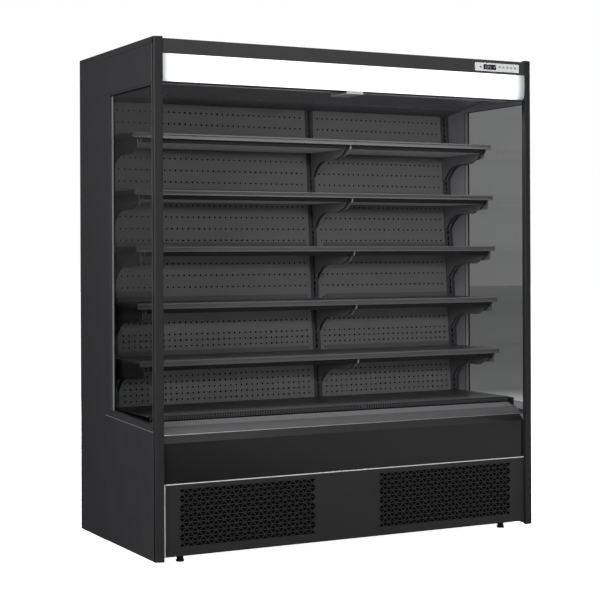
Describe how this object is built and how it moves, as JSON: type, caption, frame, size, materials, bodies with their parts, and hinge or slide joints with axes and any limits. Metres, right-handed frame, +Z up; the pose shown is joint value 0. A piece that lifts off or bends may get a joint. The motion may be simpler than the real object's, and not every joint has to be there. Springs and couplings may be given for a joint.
{
  "type": "open multideck display fridge",
  "caption": "Open-front refrigerated display cabinet with lift-off shelves, night blind, side windows, lit canopy, bumper and perforated kick panel.",
  "frame": {"origin": "on the floor, in the middle of the width and of the depth", "axes": "+X to the right seen from the front, +Y to the rear, +Z up"},
  "size_m": [1.74, 0.84, 2],
  "materials": {
    "post_metal": "satin",
    "insulated_panel": "satin",
    "frame_profile": "satin",
    "side_glass": "gloss",
    "shelf_steel": "satin",
    "dark_steel": "satin",
    "gloss_steel": "gloss",
    "control_plastic": "satin",
    "key_plastic": "satin",
    "opal_plastic": "satin",
    "black_plastic": "matte",
    "light_plastic": "satin",
    "blind_fabric": "matte",
    "galvanised": "satin",
    "bumper_rubber": "satin",
    "foot_steel": "satin",
    "compressor_black": "satin",
    "coil_metal": "satin"
  },
  "bodies": {
    "cabinet": {"end_post_left": "post_metal", "end_post_right": "post_metal", "end_frame_left": "insulated_panel", "end_frame_right": "insulated_panel", "end_upper_panel_left": "insulated_panel", "end_upper_panel_right": "insulated_panel", "end_lower_panel_left": "insulated_panel", "end_lower_panel_right": "insulated_panel", "window_frame_left": "frame_profile", "window_frame_right": "frame_profile", "side_glass_left": "side_glass", "side_glass_right": "side_glass", "rear_wall": "insulated_panel", "duct_panel_left": "shelf_steel", "duct_panel_right": "shelf_steel", "shelf_uprights": "shelf_steel", "shelf_brackets": "shelf_steel", "canopy_roof": "insulated_panel", "fascia": "dark_steel", "control_panel": "control_plastic", "light_box": "opal_plastic", "ceiling_panel": "shelf_steel", "blind_cassette": "frame_profile", "base_tub": "insulated_panel", "deck_frame": "galvanised", "front_panel": "gloss_steel", "bumper": "bumper_rubber", "base_frame": "galvanised", "compressor": "compressor_black", "condenser_coil": "coil_metal", "evaporator_coil": "coil_metal", "air_outlet": "black_plastic"},
    "shelf_left_1": {"shelf_left_1": "shelf_steel"},
    "shelf_left_2": {"shelf_left_2": "shelf_steel"},
    "shelf_left_3": {"shelf_left_3": "shelf_steel"},
    "shelf_left_4": {"shelf_left_4": "shelf_steel"},
    "shelf_left_5": {"shelf_left_5": "shelf_steel"},
    "deck_pan_left": {"deck_pan_left": "shelf_steel"},
    "shelf_right_1": {"shelf_right_1": "shelf_steel"},
    "shelf_right_2": {"shelf_right_2": "shelf_steel"},
    "shelf_right_3": {"shelf_right_3": "shelf_steel"},
    "shelf_right_4": {"shelf_right_4": "shelf_steel"},
    "shelf_right_5": {"shelf_right_5": "shelf_steel"},
    "deck_pan_right": {"deck_pan_right": "shelf_steel"},
    "return_grille": {"return_grille": "shelf_steel"},
    "kick_panel": {"kick_panel": "dark_steel"},
    "control_key_1": {"control_key_1": "key_plastic"},
    "control_key_2": {"control_key_2": "key_plastic"},
    "control_key_3": {"control_key_3": "key_plastic"},
    "control_key_4": {"control_key_4": "key_plastic"},
    "control_key_5": {"control_key_5": "key_plastic"},
    "blind_bar": {"blind_bar": "light_plastic", "blind_curtain": "blind_fabric"},
    "blind_roller": {"blind_roller": "frame_profile"},
    "foot_front_left": {"foot_front_left": "foot_steel"},
    "foot_front_right": {"foot_front_right": "foot_steel"},
    "foot_rear_left": {"foot_rear_left": "foot_steel"},
    "foot_rear_right": {"foot_rear_right": "foot_steel"},
    "condenser_fan": {"condenser_fan": "black_plastic"},
    "evaporator_fan": {"evaporator_fan": "black_plastic"}
  },
  "joints": [
    {"name": "shelf_left_1_lift", "type": "slide", "parent": "cabinet", "child": "shelf_left_1", "axis": [0, 0, 1], "range_m": [0, 0.03]},
    {"name": "shelf_left_2_lift", "type": "slide", "parent": "cabinet", "child": "shelf_left_2", "axis": [0, 0, 1], "range_m": [0, 0.03]},
    {"name": "shelf_left_3_lift", "type": "slide", "parent": "cabinet", "child": "shelf_left_3", "axis": [0, 0, 1], "range_m": [0, 0.03]},
    {"name": "shelf_left_4_lift", "type": "slide", "parent": "cabinet", "child": "shelf_left_4", "axis": [0, 0, 1], "range_m": [0, 0.03]},
    {"name": "shelf_left_5_lift", "type": "slide", "parent": "cabinet", "child": "shelf_left_5", "axis": [0, 0, 1], "range_m": [0, 0.03]},
    {"name": "deck_pan_left_lift", "type": "slide", "parent": "cabinet", "child": "deck_pan_left", "axis": [0, 0, 1], "range_m": [0, 0.03]},
    {"name": "shelf_right_1_lift", "type": "slide", "parent": "cabinet", "child": "shelf_right_1", "axis": [0, 0, 1], "range_m": [0, 0.03]},
    {"name": "shelf_right_2_lift", "type": "slide", "parent": "cabinet", "child": "shelf_right_2", "axis": [0, 0, 1], "range_m": [0, 0.03]},
    {"name": "shelf_right_3_lift", "type": "slide", "parent": "cabinet", "child": "shelf_right_3", "axis": [0, 0, 1], "range_m": [0, 0.03]},
    {"name": "shelf_right_4_lift", "type": "slide", "parent": "cabinet", "child": "shelf_right_4", "axis": [0, 0, 1], "range_m": [0, 0.03]},
    {"name": "shelf_right_5_lift", "type": "slide", "parent": "cabinet", "child": "shelf_right_5", "axis": [0, 0, 1], "range_m": [0, 0.03]},
    {"name": "deck_pan_right_lift", "type": "slide", "parent": "cabinet", "child": "deck_pan_right", "axis": [0, 0, 1], "range_m": [0, 0.03]},
    {"name": "return_grille_lift", "type": "slide", "parent": "cabinet", "child": "return_grille", "axis": [0, 0, 1], "range_m": [0, 0.03]},
    {"name": "kick_panel_pull", "type": "slide", "parent": "cabinet", "child": "kick_panel", "axis": [0, -1, 0], "range_m": [0, 0.05]},
    {"name": "control_key_1_press", "type": "slide", "parent": "cabinet", "child": "control_key_1", "axis": [0, 1, 0], "range_m": [0, 0.001], "stiffness_N_per_m": 400, "springref_m": -0.001},
    {"name": "control_key_2_press", "type": "slide", "parent": "cabinet", "child": "control_key_2", "axis": [0, 1, 0], "range_m": [0, 0.001], "stiffness_N_per_m": 400, "springref_m": -0.001},
    {"name": "control_key_3_press", "type": "slide", "parent": "cabinet", "child": "control_key_3", "axis": [0, 1, 0], "range_m": [0, 0.001], "stiffness_N_per_m": 400, "springref_m": -0.001},
    {"name": "control_key_4_press", "type": "slide", "parent": "cabinet", "child": "control_key_4", "axis": [0, 1, 0], "range_m": [0, 0.001], "stiffness_N_per_m": 400, "springref_m": -0.001},
    {"name": "control_key_5_press", "type": "slide", "parent": "cabinet", "child": "control_key_5", "axis": [0, 1, 0], "range_m": [0, 0.001], "stiffness_N_per_m": 400, "springref_m": -0.001},
    {"name": "blind_pull", "type": "slide", "parent": "cabinet", "child": "blind_bar", "axis": [0, 0, -1], "range_m": [0, 1.25], "stiffness_N_per_m": 12, "springref_m": -1, "deforming": ["blind_curtain"]},
    {"name": "blind_roll", "type": "hinge", "parent": "cabinet", "child": "blind_roller", "pos_m": [0, -0.3074, 1.893], "axis": [-1, 0, 0], "continuous": true},
    {"name": "foot_front_left_turn", "type": "hinge", "parent": "cabinet", "child": "foot_front_left", "pos_m": [-0.745, -0.3537, 0.03], "axis": [0, 0, 1], "continuous": true},
    {"name": "foot_front_right_turn", "type": "hinge", "parent": "cabinet", "child": "foot_front_right", "pos_m": [0.745, -0.3537, 0.03], "axis": [0, 0, 1], "continuous": true},
    {"name": "foot_rear_left_turn", "type": "hinge", "parent": "cabinet", "child": "foot_rear_left", "pos_m": [-0.745, 0.4037, 0.03], "axis": [0, 0, 1], "continuous": true},
    {"name": "foot_rear_right_turn", "type": "hinge", "parent": "cabinet", "child": "foot_rear_right", "pos_m": [0.745, 0.4037, 0.03], "axis": [0, 0, 1], "continuous": true},
    {"name": "condenser_fan_spin", "type": "hinge", "parent": "cabinet", "child": "condenser_fan", "pos_m": [-0.47, -0.173, 0.1918], "axis": [0, 1, 0], "continuous": true},
    {"name": "evaporator_fan_spin", "type": "hinge", "parent": "cabinet", "child": "evaporator_fan", "pos_m": [-0.36, -0.107, 0.466], "axis": [0, 1, 0], "continuous": true}
  ],
  "couplings": [
    {"joint": "blind_roll", "follows": "blind_pull", "rad_per_m": 45.455}
  ]
}
